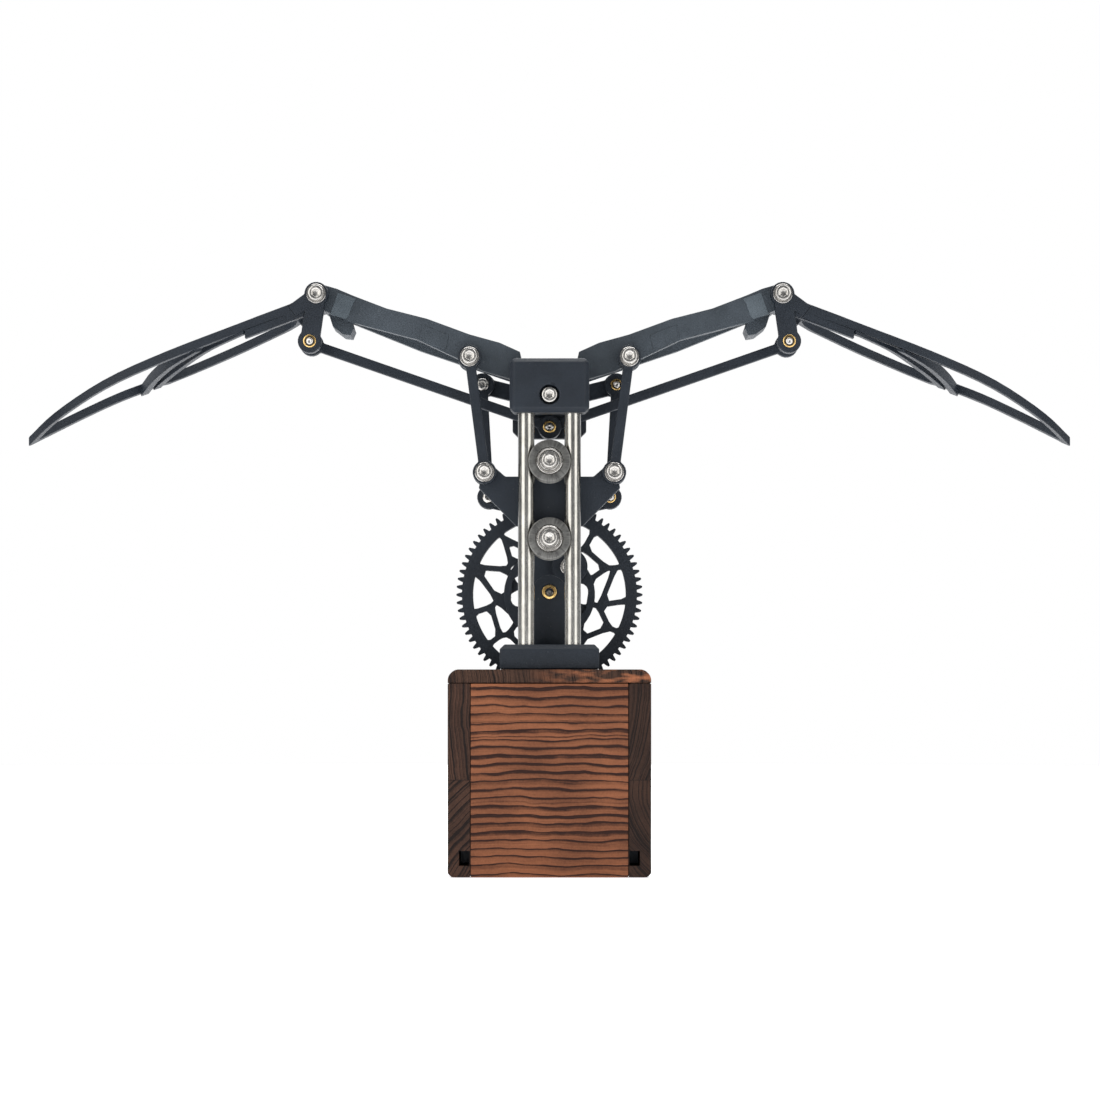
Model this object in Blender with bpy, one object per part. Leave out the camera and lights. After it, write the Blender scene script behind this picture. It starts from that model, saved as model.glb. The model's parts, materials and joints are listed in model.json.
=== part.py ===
"""Desk-size flapping-wing model on a wooden box: every separate piece as one closed solid.

X points right, Y points away from the front, Z points up. The origin is the centre of the box's bottom face.
All dimensions below are millimetres; MM turns them into metres when a mesh is made.
"""

import math

import bmesh
import bpy
from mathutils import Matrix, Vector
from mathutils.geometry import delaunay_2d_cdt

MM = 0.001
GAP = 0.3
BORE_PLAY = 0.25
BOSS_SIDES = 24
PIN_SIDES = 14
BORE_SIDES = 12
DRILL_SIDES = 18

# Wooden box
BOX_WIDTH = 72.4
BOX_DEPTH = 81.0
BOX_HEIGHT = 74.0
TOP_BOARD = 4.8
SIDE_BOARD = 7.9
FRONT_BOARD = 7.9
BOTTOM_BOARD_LOW = 4.4
BOTTOM_BOARD_HIGH = 9.1
GROOVE_DEPTH = 3.9
GROOVE_LOW = 4.1
GROOVE_HIGH = 9.4
FOOT_CHAMFER = 1.4
TOP_CORNER = 2.4
GEAR_SLOT_HALF_LENGTH = 23.0
GEAR_SLOT_PLAY = 1.5
GEAR_SLOT_CORNER = 2.0

# Guide rods, foot bracket and head block
ROD_PLANE = -28.5
ROD_SPACING = 16.7
ROD_RADIUS = 3.0
ROD_LOW = 76.2
ROD_HIGH = 177.4
BRACKET_HALF_WIDTH = 17.8
BRACKET_TOP = 83.0
BRACKET_CHAMFER = 1.7
HEAD_HALF_WIDTH = 14.3
HEAD_LOW = 166.2
HEAD_HIGH = 185.7
HEAD_CHAMFER = 1.6
HEAD_SCREW_HEIGHT = 172.5
HEAD_SCREW_END = 12.0
COUNTERBORE_RADIUS = 3.6
COUNTERBORE_DEPTH = 3.0
HIP_HALF_WIDTH = 13.5
HIP_LOW = 158.8
HIP_HIGH = 187.0
HIP_LOW_CHAMFER = 2.6
HIP_HIGH_CHAMFER = 1.5
BRIDGE_HALF_WIDTH = 3.2
BRIDGE_LOW = 169.8

# Depth layers (front, back), measured backwards from the plane of the rods' axes
HEAD_LAYER = (-6.0, 6.0)
BRACKET_LAYER = (-8.0, 15.0)
FRONT_PUSHROD_LAYER = (0.6, 4.4)
HORN_LAYER = (2.4, 6.2)
CARRIAGE_LAYER = (5.0, 9.0)
FRONT_SPAR_LAYER = (6.6, 10.4)
FRONT_POST_LAYER = (10.0, 14.0)
LEFT_LINK_LAYER = (11.2, 14.0)
RIGHT_LINK_LAYER = (14.4, 17.2)
HIP_LAYER = (17.6, 21.2)
REAR_SPAR_LAYER = (21.6, 24.4)
REAR_EAR_LAYER = (24.8, 28.6)
REAR_PUSHROD_LAYER = (25.0, 27.6)
REAR_ARM_LAYER = (28.2, 31.0)
CONROD_LAYER = (31.6, 34.6)
CRANK_WEB_LAYER = (35.2, 37.2)
GEAR_LAYER = (37.5, 42.5)
REAR_POST_LAYER = (45.0, 49.0)

# Linkage pivots of the right side, as (x, z)
SHOULDER = (8.0, 181.6)
ELBOW = (84.2, 209.8)
HORN_TIP = (86.6, 192.7)
PUSH_TOP = (28.8, 186.8)
PUSH_BOTTOM = (23.4, 145.2)
REAR_PUSH_TOP = (24.7, 179.5)
REAR_PUSH_BOTTOM = (22.4, 138.0)
ROCKER_PIVOT = (4.0, 174.3)
BODY_LINK = (0.0, 162.6)

# Crank and gear
GEAR_CENTRE = (0.0, 102.45)
GEAR_MODULE = 0.94
GEAR_TEETH = 72
PINION_TEETH = 12
MESH_CLEARANCE = 0.12
CRANK_RADIUS = 12.8
CRANK_ANGLE = 53.7
CONROD_LENGTH = 27.0
RIM_INNER_RADIUS = 28.6
WEB_STRUT = 2.0
HUB_RADIUS = 7.0
HUB_THICKNESS = 1.8
CRANK_WEB_RADIUS = 17.0
CRANK_WINDOW_RADIUS = 11.5
CRANK_WINDOW_WIDTH = 6.0
CONROD_WIDTH = 6.0
CONROD_SMALL_END = 4.2
CONROD_BIG_END = 6.6

# Gear posts
FRONT_POST_HALF_WIDTH = 6.2
REAR_POST_HALF_WIDTH = 7.0
INSERT_RADIUS = 2.6
POST_FOOT_HALF_WIDTH = 14.0
POST_FOOT_HEIGHT = 5.0
POST_FOOT_BACK = 59.0

# Motor and its cradle
MOTOR_HALF_WIDTH = 6.0
MOTOR_HALF_HEIGHT = 5.0
GEARBOX_LENGTH = 9.0
MOTOR_CAN_LENGTH = 15.0
CRADLE_HALF_WIDTH = 9.0
CRADLE_EAR_HALF_WIDTH = 16.0
CRADLE_WALL = 2.3

# Rollers
ROLLER_HEIGHTS = {"upper_roller": 148.9, "lower_roller": 121.1}
ROLLER_RADIUS = 7.6
ROLLER_HALF_WIDTH = 4.4
ROLLER_SIDES = 30
GROOVE_CLEARANCE = 0.3

# Small parts
SCREW_RADIUS = 1.5
SCREW_HEAD_RADIUS = 2.75
SCREW_HEAD_HEIGHT = 2.6
SOCKET_RADIUS = 1.35
SOCKET_DEPTH = 1.5
WASHER_RADIUS = 3.5
WASHER_THICKNESS = 0.6
BOSS_RADIUS = 4.3
LINK_WIDTH = 3.6

# Inner wing: outlines of the front spar and of the blocks between the two spars, as (x, z)
SPAR_UPPER_EDGE = (
    (84.2, 214.2),
    (77.2, 212.2),
    (71.0, 209.6),
    (59.0, 205.0),
    (44.4, 201.3),
    (28.9, 195.6),
    (18.0, 192.6),
    (10.7, 189.3),
)
SPAR_LOWER_EDGE = (
    (8.0, 177.2),
    (14.5, 179.6),
    (24.0, 182.4),
    (33.3, 186.9),
    (47.7, 193.7),
    (59.0, 196.6),
    (72.7, 200.3),
    (84.2, 205.4),
)
SPAR_KNEE = (46.0, 194.4)
REAR_SPAR_WIDTH = 6.4
WING_BOSS_RADIUS = 4.4
ELBOW_BLOCK = ((73.0, 206.0), (79.0, 208.2))
ELBOW_BLOCK_WIDTH = 8.6
ELBOW_CLIP = ((71.2, 198.4), (72.3, 195.8), (75.1, 196.2), (78.8, 199.0), (80.4, 204.0), (73.0, 204.0))
ROOT_BLOCK = ((25.0, 188.6), (30.0, 190.6))
ROOT_BLOCK_WIDTH = 6.8

# Outer wing: plan outline as (x, depth) and the height of its top edge along the span
STRIP_WIDTH = 3.2
STRIP_HEIGHT = 3.4
QUILL_HEIGHT = 4.5
ROOT_PLATE_HEIGHT = 6.3
CURVE_STEPS = 4
SPAN_HEIGHTS = ((84.0, 209.8), (112.5, 199.0), (140.2, 188.6), (160.1, 180.4), (176.5, 171.5), (193.7, 160.8))
LEADING_EDGE = ((87.6, 4.3), (112.0, 4.3), (138.0, 5.6), (162.0, 11.0), (181.0, 20.0), (192.0, 33.0))
PRIMARY_TRAILING = ((192.0, 33.0), (181.5, 40.5), (168.0, 48.0), (153.5, 54.5))
NOTCH = ((153.5, 54.5), (148.5, 52.0), (144.5, 57.0))
SECOND_TRAILING = ((144.5, 57.0), (133.0, 55.5), (116.0, 49.5), (98.0, 40.0))
ROOT_EDGE = ((98.0, 40.0), (93.0, 33.0), (90.6, 18.0), (90.6, 4.3))
ROOT_PLATE = ((87.6, 4.3), (110.0, 4.3))
OUTER_QUILL = ((127.0, 5.0), (138.0, 17.0), (147.0, 35.0), (153.5, 54.5))
INNER_QUILL = ((110.0, 4.3), (124.0, 11.5), (136.0, 28.0), (144.5, 43.0), (148.5, 52.0))
WING_ROOT = (93.0, 203.3)
EAR_WIDTH = 5.0
HORN_WIDTH = 6.8

COLOURS = {
    "black_plastic": ((0.020, 0.023, 0.028), 0.0, 0.55),
    "steel": ((0.62, 0.62, 0.64), 1.0, 0.25),
    "brass": ((0.72, 0.48, 0.18), 1.0, 0.30),
    "charred_wood": ((0.16, 0.085, 0.045), 0.0, 0.50),
    "motor_metal": ((0.45, 0.45, 0.47), 1.0, 0.40),
}


def clear_scene():
    for old in list(bpy.data.objects):
        bpy.data.objects.remove(old, do_unlink=True)


def material(name, part_name):
    colour, metallic, roughness = COLOURS[name]
    made = bpy.data.materials.new(f"{part_name}_{name}")
    made.use_nodes = True
    shader = made.node_tree.nodes["Principled BSDF"]
    shader.inputs["Base Color"].default_value = (*colour, 1.0)
    shader.inputs["Metallic"].default_value = metallic
    shader.inputs["Roughness"].default_value = roughness
    return made


def depth(layer_depth):
    """World Y of a depth measured from the rods' plane."""
    return ROD_PLANE + layer_depth


def add_object(name, shape, look, origin=(0.0, 0.0, 0.0)):
    """Turns a bmesh in millimetres into an object whose origin is the given point."""
    bmesh.ops.recalc_face_normals(shape, faces=shape.faces)
    shift = Matrix.Translation(-Vector(origin) * MM)
    shape.transform(shift @ Matrix.Scale(MM, 4))
    data = bpy.data.meshes.new(name)
    shape.to_mesh(data)
    shape.free()
    data.shade_smooth()
    data.set_sharp_from_angle(angle=math.radians(30))
    data.materials.append(material(look, name))
    made = bpy.data.objects.new(name, data)
    made.location = Vector(origin) * MM
    bpy.context.scene.collection.objects.link(made)
    return made


def cut(target, cutter, operation="DIFFERENCE"):
    """Adds a Boolean whose cutter stays hidden."""
    cutter.hide_render = True
    cutter.display_type = "WIRE"
    boolean = target.modifiers.new(cutter.name, "BOOLEAN")
    boolean.operation = operation
    boolean.solver = "EXACT"
    boolean.object = cutter


# Outlines: lists of (u, v) points, counterclockwise


def counterclockwise(points):
    area = sum(a[0] * b[1] - b[0] * a[1] for a, b in zip(points, points[1:] + points[:1]))
    return points if area > 0 else points[::-1]


def disc(centre, radius, sides=BOSS_SIDES):
    angles = [2 * math.pi * (i + 0.5) / sides for i in range(sides)]
    return [(centre[0] + radius * math.cos(a), centre[1] + radius * math.sin(a)) for a in angles]


def bore(centre):
    """Running hole for a screw or a pin."""
    return disc(centre, SCREW_RADIUS + BORE_PLAY, BORE_SIDES)


def rectangle(low, high):
    return [(low[0], low[1]), (high[0], low[1]), (high[0], high[1]), (low[0], high[1])]


def bar(start, end, width):
    along = (Vector(end) - Vector(start)).normalized()
    side = Vector((-along.y, along.x)) * width / 2
    corners = (Vector(start) - side, Vector(end) - side, Vector(end) + side, Vector(start) + side)
    return [tuple(corner) for corner in corners]


def chamfered_outline(half_width, low, high, low_chamfer, high_chamfer):
    right = [
        (half_width - low_chamfer, low),
        (half_width, low + low_chamfer),
        (half_width, high - high_chamfer),
        (half_width - high_chamfer, high),
    ]
    return right + [(-x, z) for x, z in reversed(right)]


def mirrored(points, side):
    return [(side * u, v) for u, v in points]


def mirror_all(outlines, side):
    return [mirrored(outline, side) for outline in outlines]


def smooth_curve(points, steps=CURVE_STEPS):
    """Catmull-Rom curve through the points."""
    ends = [Vector(points[0]) * 2 - Vector(points[1])]
    ends += [Vector(p) for p in points]
    ends += [Vector(points[-1]) * 2 - Vector(points[-2])]
    curve = []
    for before, start, end, after in zip(ends, ends[1:], ends[2:], ends[3:]):
        for step in range(steps):
            t = step / steps
            curve.append(
                0.5
                * (
                    2 * start
                    + (end - before) * t
                    + (2 * before - 5 * start + 4 * end - after) * t**2
                    + (3 * start - before - 3 * end + after) * t**3
                )
            )
    curve.append(ends[-2])
    return [tuple(p) for p in curve]


def ribbon(points, width):
    """Outline of a strip of even width along an open curve."""
    line = [Vector(p) for p in points]
    sides = []
    for i, point in enumerate(line):
        along = (line[min(i + 1, len(line) - 1)] - line[max(i - 1, 0)]).normalized()
        sides.append(Vector((-along.y, along.x)) * width / 2)
    left = [tuple(p + s) for p, s in zip(line, sides)]
    right = [tuple(p - s) for p, s in zip(line, sides)]
    return right + left[::-1]


# Solids


def layered(layers, place):
    """Closed solid made of flat outlines stacked in layers.

    layers holds (from, to, solid outlines, hole outlines), and place turns (u, v, level) into a point.
    All outlines share one triangulation, so neighbouring layers meet exactly.
    """
    outlines = []
    members = []
    for low, high, solids, holes in layers:
        first = len(outlines)
        outlines += [counterclockwise(list(o)) for o in list(solids) + list(holes)]
        split = first + len(solids)
        members.append((low, high, range(first, split), range(split, len(outlines))))
    points = [Vector(p) for outline in outlines for p in outline]
    faces = []
    for outline in outlines:
        start = sum(len(face) for face in faces)
        faces.append(list(range(start, start + len(outline))))
    flat, _, triangles, _, _, sources = delaunay_2d_cdt(points, [], faces, 1, 1e-4)
    levels = sorted({level for low, high, *_ in members for level in (low, high)})
    slabs = list(zip(levels, levels[1:]))

    def filled(source, slab):
        for low, high, solids, holes in members:
            inside = low <= slab[0] and slab[1] <= high
            if inside and any(s in solids for s in source) and not any(s in holes for s in source):
                return True
        return False

    solid = [[filled(source, slab) for slab in slabs] for source in sources]
    shape = bmesh.new()
    corners = {}

    def corner(index, level):
        if (index, level) not in corners:
            corners[index, level] = shape.verts.new(place(*flat[index], levels[level]))
        return corners[index, level]

    edges = {}
    for t, triangle in enumerate(triangles):
        column = [False] + solid[t] + [False]
        for level in range(len(levels)):
            if column[level] != column[level + 1]:
                shape.faces.new([corner(i, level) for i in triangle])
        for a, b in zip(triangle, triangle[1:] + triangle[:1]):
            edges.setdefault((min(a, b), max(a, b)), []).append(t)
    for (a, b), sides in edges.items():
        for k in range(len(slabs)):
            if sum(solid[t][k] for t in sides) == 1:
                shape.faces.new([corner(a, k), corner(b, k), corner(b, k + 1), corner(a, k + 1)])
    return shape


def front_plate(name, look, layers, origin=(0.0, 0.0, 0.0)):
    """Outlines in X and Z, stacked in depth."""
    return add_object(name, layered(layers, lambda u, v, level: (u, depth(level), v)), look, origin)


def turned(profile, centre, direction="y", sides=PIN_SIDES):
    """Closed solid of revolution. The profile runs along the axis as (radius, position) and closes on itself
    unless it starts and ends on the axis."""
    shape = bmesh.new()
    rings = []
    for radius, position in profile:
        ring = []
        for i in range(sides if radius > 0 else 1):
            angle = 2 * math.pi * (i + 0.5) / sides
            u = radius * math.cos(angle)
            v = radius * math.sin(angle)
            if direction == "y":
                ring.append(shape.verts.new((centre[0] + u, depth(position), centre[1] + v)))
            else:
                ring.append(shape.verts.new((centre[0] + u, centre[1] + v, position)))
        rings.append(ring)
    open_ended = profile[0][0] == 0
    pairs = list(zip(rings, rings[1:]))
    if not open_ended:
        pairs.append((rings[-1], rings[0]))
    for near, far in pairs:
        for i in range(sides):
            j = (i + 1) % sides
            corners = [near[i % len(near)], near[j % len(near)], far[j % len(far)], far[i % len(far)]]
            shape.faces.new(list(dict.fromkeys(corners)))
    return shape


def pin(name, centre, low, high, origin, radius=SCREW_RADIUS, look="steel"):
    profile = [(0, low), (radius, low), (radius, high), (0, high)]
    return add_object(name, turned(profile, centre), look, origin)


def cap_screw(name, centre, seat, high, origin, washer=WASHER_THICKNESS):
    """Socket cap screw whose washer rests on the front face at depth seat."""
    under = seat - GAP / 3 - washer
    front = under - SCREW_HEAD_HEIGHT
    profile = [
        (0, front + SOCKET_DEPTH),
        (SOCKET_RADIUS, front + SOCKET_DEPTH),
        (SOCKET_RADIUS, front),
        (SCREW_HEAD_RADIUS, front),
        (SCREW_HEAD_RADIUS, under),
        (WASHER_RADIUS, under),
        (WASHER_RADIUS, under + washer),
        (SCREW_RADIUS, under + washer),
        (SCREW_RADIUS, high),
        (0, high),
    ]
    if washer == 0:
        profile = profile[:5] + profile[7:]
    return add_object(name, turned(profile, centre), "steel", origin)


def chamfered_block(low, high, chamfer, chosen):
    """Box whose chosen edges, picked by a test on their two ends, are chamfered."""
    shape = bmesh.new()
    bmesh.ops.create_cube(shape, size=1.0)
    size = Vector(high) - Vector(low)
    middle = (Vector(high) + Vector(low)) / 2
    for vert in shape.verts:
        vert.co = Vector((vert.co.x * size.x, vert.co.y * size.y, vert.co.z * size.z)) + middle
    picked = [edge for edge in shape.edges if chosen(edge, middle)]
    bmesh.ops.bevel(shape, geom=picked, offset=chamfer, segments=1, affect="EDGES")
    return shape


def drill(target, name, centre, radius, low, high, direction="y"):
    cutter = add_object(
        name,
        turned([(0, low), (radius, low), (radius, high), (0, high)], centre, direction, DRILL_SIDES),
        "steel",
    )
    cut(target, cutter)


# The wooden box


def build_box():
    half = BOX_WIDTH / 2
    front = -BOX_DEPTH / 2 - ROD_PLANE
    back = BOX_DEPTH / 2 - ROD_PLANE
    side_top = BOX_HEIGHT - TOP_BOARD
    top = chamfered_outline(half, side_top, BOX_HEIGHT, GAP / 3, TOP_CORNER)
    top_board = front_plate("top_board", "charred_wood", [(front, back, [top], [])])
    gear_middle = depth(sum(GEAR_LAYER) / 2)
    slot_half_depth = (GEAR_LAYER[1] - GEAR_LAYER[0]) / 2 + GEAR_SLOT_PLAY
    slot_low = (-GEAR_SLOT_HALF_LENGTH, gear_middle - slot_half_depth, side_top - 1)
    slot_high = (GEAR_SLOT_HALF_LENGTH, gear_middle + slot_half_depth, BOX_HEIGHT + 1)
    slot = chamfered_block(slot_low, slot_high, GEAR_SLOT_CORNER, is_vertical)
    cut(top_board, add_object("gear_slot_cutter", slot, "charred_wood"))
    for side, name in ((-1, "left_board"), (1, "right_board")):
        inner = half - SIDE_BOARD
        outline = [
            (inner, 0),
            (half - FOOT_CHAMFER, 0),
            (half, FOOT_CHAMFER),
            (half, side_top - GAP),
            (inner, side_top - GAP),
            (inner, GROOVE_HIGH),
            (inner + GROOVE_DEPTH, GROOVE_HIGH),
            (inner + GROOVE_DEPTH, GROOVE_LOW),
            (inner, GROOVE_LOW),
        ]
        front_plate(name, "charred_wood", [(front, back, [mirrored(outline, side)], [])])
    inner = half - SIDE_BOARD - GAP
    panel = rectangle((-inner, 0), (inner, side_top - GAP))
    front_plate("front_board", "charred_wood", [(front, front + FRONT_BOARD, [panel], [])])
    front_plate("back_board", "charred_wood", [(back - FRONT_BOARD, back, [panel], [])])
    tongue = inner + GROOVE_DEPTH
    floor_outline = rectangle((-tongue, BOTTOM_BOARD_LOW), (tongue, BOTTOM_BOARD_HIGH))
    floor_layer = (front + FRONT_BOARD + GAP, back - FRONT_BOARD - GAP)
    front_plate("bottom_board", "black_plastic", [(*floor_layer, [floor_outline], [])])


def is_vertical(edge, _):
    ends = edge.verts[0].co - edge.verts[1].co
    return abs(ends.x) < GAP and abs(ends.y) < GAP


def is_upper(edge, middle):
    return all(vert.co.z > middle.z for vert in edge.verts)


# The fixed frame above the box


def build_frame():
    rods = [(side * ROD_SPACING / 2, depth(0)) for side in (-1, 1)]
    for name, centre in zip(("left_guide_rod", "right_guide_rod"), rods):
        edge = 0.5
        profile = [
            (0, ROD_LOW),
            (ROD_RADIUS - edge, ROD_LOW),
            (ROD_RADIUS, ROD_LOW + edge),
            (ROD_RADIUS, ROD_HIGH - edge),
            (ROD_RADIUS - edge, ROD_HIGH),
            (0, ROD_HIGH),
        ]
        add_object(name, turned(profile, centre, "z", BOSS_SIDES), "steel")
    bracket_low = (-BRACKET_HALF_WIDTH, depth(BRACKET_LAYER[0]), BOX_HEIGHT + GAP)
    bracket_high = (BRACKET_HALF_WIDTH, depth(BRACKET_LAYER[1]), BRACKET_TOP)
    shape = chamfered_block(bracket_low, bracket_high, BRACKET_CHAMFER, is_upper)
    bracket = add_object("foot_bracket", shape, "black_plastic")
    low = (-HEAD_HALF_WIDTH, depth(HEAD_LAYER[0]), HEAD_LOW)
    high = (HEAD_HALF_WIDTH, depth(HEAD_LAYER[1]), HEAD_HIGH)
    shape = chamfered_block(low, high, HEAD_CHAMFER, lambda edge, _: True)
    head = add_object("head_block", shape, "black_plastic")
    socket = ROD_RADIUS + BORE_PLAY
    for number, centre in enumerate(rods):
        drill(bracket, f"foot_socket_cutter_{number}", centre, socket, ROD_LOW - GAP, BRACKET_TOP + 1, "z")
        drill(head, f"head_socket_cutter_{number}", centre, socket, HEAD_LOW - 1, ROD_HIGH + GAP, "z")
    screw = (0.0, HEAD_SCREW_HEIGHT)
    counterbore = HEAD_LAYER[0] + COUNTERBORE_DEPTH
    drill(head, "counterbore_cutter", screw, COUNTERBORE_RADIUS, HEAD_LAYER[0] - 1, counterbore)
    drill(head, "head_screw_cutter", screw, SCREW_RADIUS + BORE_PLAY, HEAD_LAYER[0], HEAD_LAYER[1] + 1)
    cap_screw("head_screw", screw, counterbore, HEAD_SCREW_END, (0, 0, 0), 0)
    for side, word in ((-1, "left"), (1, "right")):
        shoulder = (side * SHOULDER[0], SHOULDER[1])
        drill(head, f"shoulder_cutter_{word}", shoulder, SCREW_RADIUS + BORE_PLAY, 1.7, HEAD_LAYER[1] + 1)
        flanged_pin(f"{word}_shoulder_pin", shoulder, 2.0, REAR_SPAR_LAYER[1] + GAP)
        rocker = (side * ROCKER_PIVOT[0], ROCKER_PIVOT[1])
        flanged_pin(f"{word}_rocker_pin", rocker, HIP_LAYER[0] + 0.2, REAR_ARM_LAYER[1] + GAP, 2.1)
    build_hip_plate()
    cap_screw("body_link_pin", BODY_LINK, LEFT_LINK_LAYER[0], HIP_LAYER[1], (0, 0, 0), 0)
    build_gear_posts()


def flanged_pin(name, centre, low, seat, flange_radius=SCREW_HEAD_RADIUS):
    """Plain pin with a retaining flange behind the depth seat."""
    flange = 1.2
    profile = [
        (0, low),
        (SCREW_RADIUS, low),
        (SCREW_RADIUS, seat),
        (flange_radius, seat),
        (flange_radius, seat + flange),
        (0, seat + flange),
    ]
    add_object(name, turned(profile, centre), "steel")


def build_hip_plate():
    plate = chamfered_outline(HIP_HALF_WIDTH, HIP_LOW, HIP_HIGH, HIP_LOW_CHAMFER, HIP_HIGH_CHAMFER)
    bridge_high = HIP_HIGH - HIP_HIGH_CHAMFER
    bridge = rectangle((-BRIDGE_HALF_WIDTH, BRIDGE_LOW), (BRIDGE_HALF_WIDTH, bridge_high))
    pins = [BODY_LINK]
    for side in (-1, 1):
        pins.append((side * SHOULDER[0], SHOULDER[1]))
        pins.append((side * ROCKER_PIVOT[0], ROCKER_PIVOT[1]))
    bores = [bore(centre) for centre in pins]
    layers = [
        (HEAD_LAYER[1] + GAP, HEAD_SCREW_END + 0.5, [bridge], [bore((0.0, HEAD_SCREW_HEIGHT))]),
        (HEAD_SCREW_END + 0.5, HIP_LAYER[0], [bridge], []),
        (*HIP_LAYER, [plate], bores),
    ]
    front_plate("hip_plate", "black_plastic", layers)


def gear_post_outlines(half_width, low):
    """Upright with a round top about the gear's axis."""
    upright = rectangle((-half_width, low), (half_width, GEAR_CENTRE[1]))
    return [upright, disc(GEAR_CENTRE, half_width)]


def build_gear_posts():
    low = BRACKET_TOP + GAP
    front = gear_post_outlines(FRONT_POST_HALF_WIDTH, low)
    insert_bore = [disc(GEAR_CENTRE, INSERT_RADIUS + BORE_PLAY)]
    front_plate("front_gear_post", "black_plastic", [(*FRONT_POST_LAYER, front, insert_bore)])
    near = FRONT_POST_LAYER[0] - GAP
    far = FRONT_POST_LAYER[1] + GAP
    profile = [(INSERT_RADIUS, near), (INSERT_RADIUS, far), (SCREW_RADIUS, far), (SCREW_RADIUS, near)]
    add_object("front_post_insert", turned(profile, GEAR_CENTRE, "y", BOSS_SIDES), "brass")
    foot_low = BOX_HEIGHT + GAP
    foot = rectangle((-POST_FOOT_HALF_WIDTH, foot_low), (POST_FOOT_HALF_WIDTH, BOX_HEIGHT + POST_FOOT_HEIGHT))
    rear = gear_post_outlines(REAR_POST_HALF_WIDTH, foot_low)
    layers = [
        (*REAR_POST_LAYER, [*rear, foot], [bore(GEAR_CENTRE)]),
        (REAR_POST_LAYER[1], POST_FOOT_BACK, [foot], []),
    ]
    front_plate("rear_gear_post", "black_plastic", layers)


# Motor, pinion, gear and crank


def gear_outline(teeth, phase, centre):
    """Toothed outline with straight flanks and backlash."""
    pitch = GEAR_MODULE * teeth / 2
    tooth = math.pi / teeth
    stations = (
        (pitch - 1.2 * GEAR_MODULE, -0.66),
        (pitch, -0.44),
        (pitch + GEAR_MODULE, -0.20),
        (pitch + GEAR_MODULE, 0.20),
        (pitch, 0.44),
        (pitch - 1.2 * GEAR_MODULE, 0.66),
    )
    outline = []
    for number in range(teeth):
        for radius, share in stations:
            angle = math.radians(phase) + tooth * (2 * number + share)
            outline.append((centre[0] + radius * math.cos(angle), centre[1] + radius * math.sin(angle)))
    return outline


def web_cells():
    """Voronoi cells of the gear's web, shrunk to leave the struts and with softened corners."""
    rings = ((12.6, 6, 14.0), (18.6, 9, 3.0), (24.6, 13, 9.0))
    wobble = (1.6, -1.2, 0.5, -1.8, 1.1)
    seeds = [Vector((0.0, 0.0))]
    for radius, count, turn in rings:
        for number in range(count):
            shift = wobble[(number * 2 + count) % len(wobble)]
            angle = math.radians(turn + 360 * number / count + 3.5 * shift)
            seeds.append(Vector((math.cos(angle), math.sin(angle))) * (radius + shift))
    cells = []
    for seed in seeds[1:]:
        cell = [Vector(p) for p in disc((0.0, 0.0), RIM_INNER_RADIUS, 60)]
        for other in seeds:
            if other != seed:
                away = (other - seed).normalized()
                reach = (other - seed).length / 2
                if other.length == 0:
                    reach = seed.length - HUB_RADIUS - WEB_STRUT
                cell = clip(cell, seed + away * (reach - WEB_STRUT / 2), away)
        if len(cell) > 2 and outline_area(cell) > 6:
            cells.append(soften(cell))
    return cells


def outline_area(points):
    return abs(sum(a.cross(b) for a, b in zip(points, points[1:] + points[:1]))) / 2


def clip(points, edge, away):
    """Keeps the part of a convex outline that lies behind the line through edge facing away."""
    kept = []
    for a, b in zip(points, points[1:] + points[:1]):
        before = (a - edge).dot(away)
        after = (b - edge).dot(away)
        if before <= 0:
            kept.append(a)
        if before * after < 0:
            kept.append(a + (b - a) * before / (before - after))
    return kept


def soften(points):
    """Drops crowded points, then cuts each corner once."""
    spaced = [p for p, q in zip(points, points[1:] + points[:1]) if (p - q).length > 0.9]
    soft = []
    for a, b in zip(spaced, spaced[1:] + spaced[:1]):
        soft += [tuple(a.lerp(b, 0.22)), tuple(a.lerp(b, 0.78))]
    return soft


def at_gear(points):
    return [(GEAR_CENTRE[0] + u, GEAR_CENTRE[1] + v) for u, v in points]


def crank_point(radius, angle):
    turn = math.radians(angle)
    return (GEAR_CENTRE[0] + radius * math.cos(turn), GEAR_CENTRE[1] + radius * math.sin(turn))


def build_drive():
    origin = (GEAR_CENTRE[0], depth(GEAR_LAYER[0]), GEAR_CENTRE[1])
    axle_bore = bore(GEAR_CENTRE)
    teeth = gear_outline(GEAR_TEETH, 0.0, GEAR_CENTRE)
    hub_back = GEAR_LAYER[1] + HUB_THICKNESS
    layers = [
        (*GEAR_LAYER, [teeth], [axle_bore] + [at_gear(cell) for cell in web_cells()]),
        (GEAR_LAYER[1], hub_back, [disc(GEAR_CENTRE, HUB_RADIUS)], [axle_bore]),
    ]
    front_plate("drive_gear", "black_plastic", layers, origin)
    pin("gear_axle", GEAR_CENTRE, CRANK_WEB_LAYER[0] + 0.2, REAR_POST_LAYER[1] + 1.0, origin)
    build_crank_web(origin, axle_bore)
    build_conrod()
    mesh_distance = GEAR_MODULE * (GEAR_TEETH + PINION_TEETH) / 2 + MESH_CLEARANCE
    pinion_centre = (GEAR_CENTRE[0], GEAR_CENTRE[1] - mesh_distance)
    pinion_origin = (pinion_centre[0], depth(GEAR_LAYER[0]), pinion_centre[1])
    pinion_bore = bore(pinion_centre)
    pinion_teeth = gear_outline(PINION_TEETH, 180.0 / PINION_TEETH, pinion_centre)
    front_plate("pinion", "brass", [(*GEAR_LAYER, [pinion_teeth], [pinion_bore])], pinion_origin)
    build_motor(pinion_centre)


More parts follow.
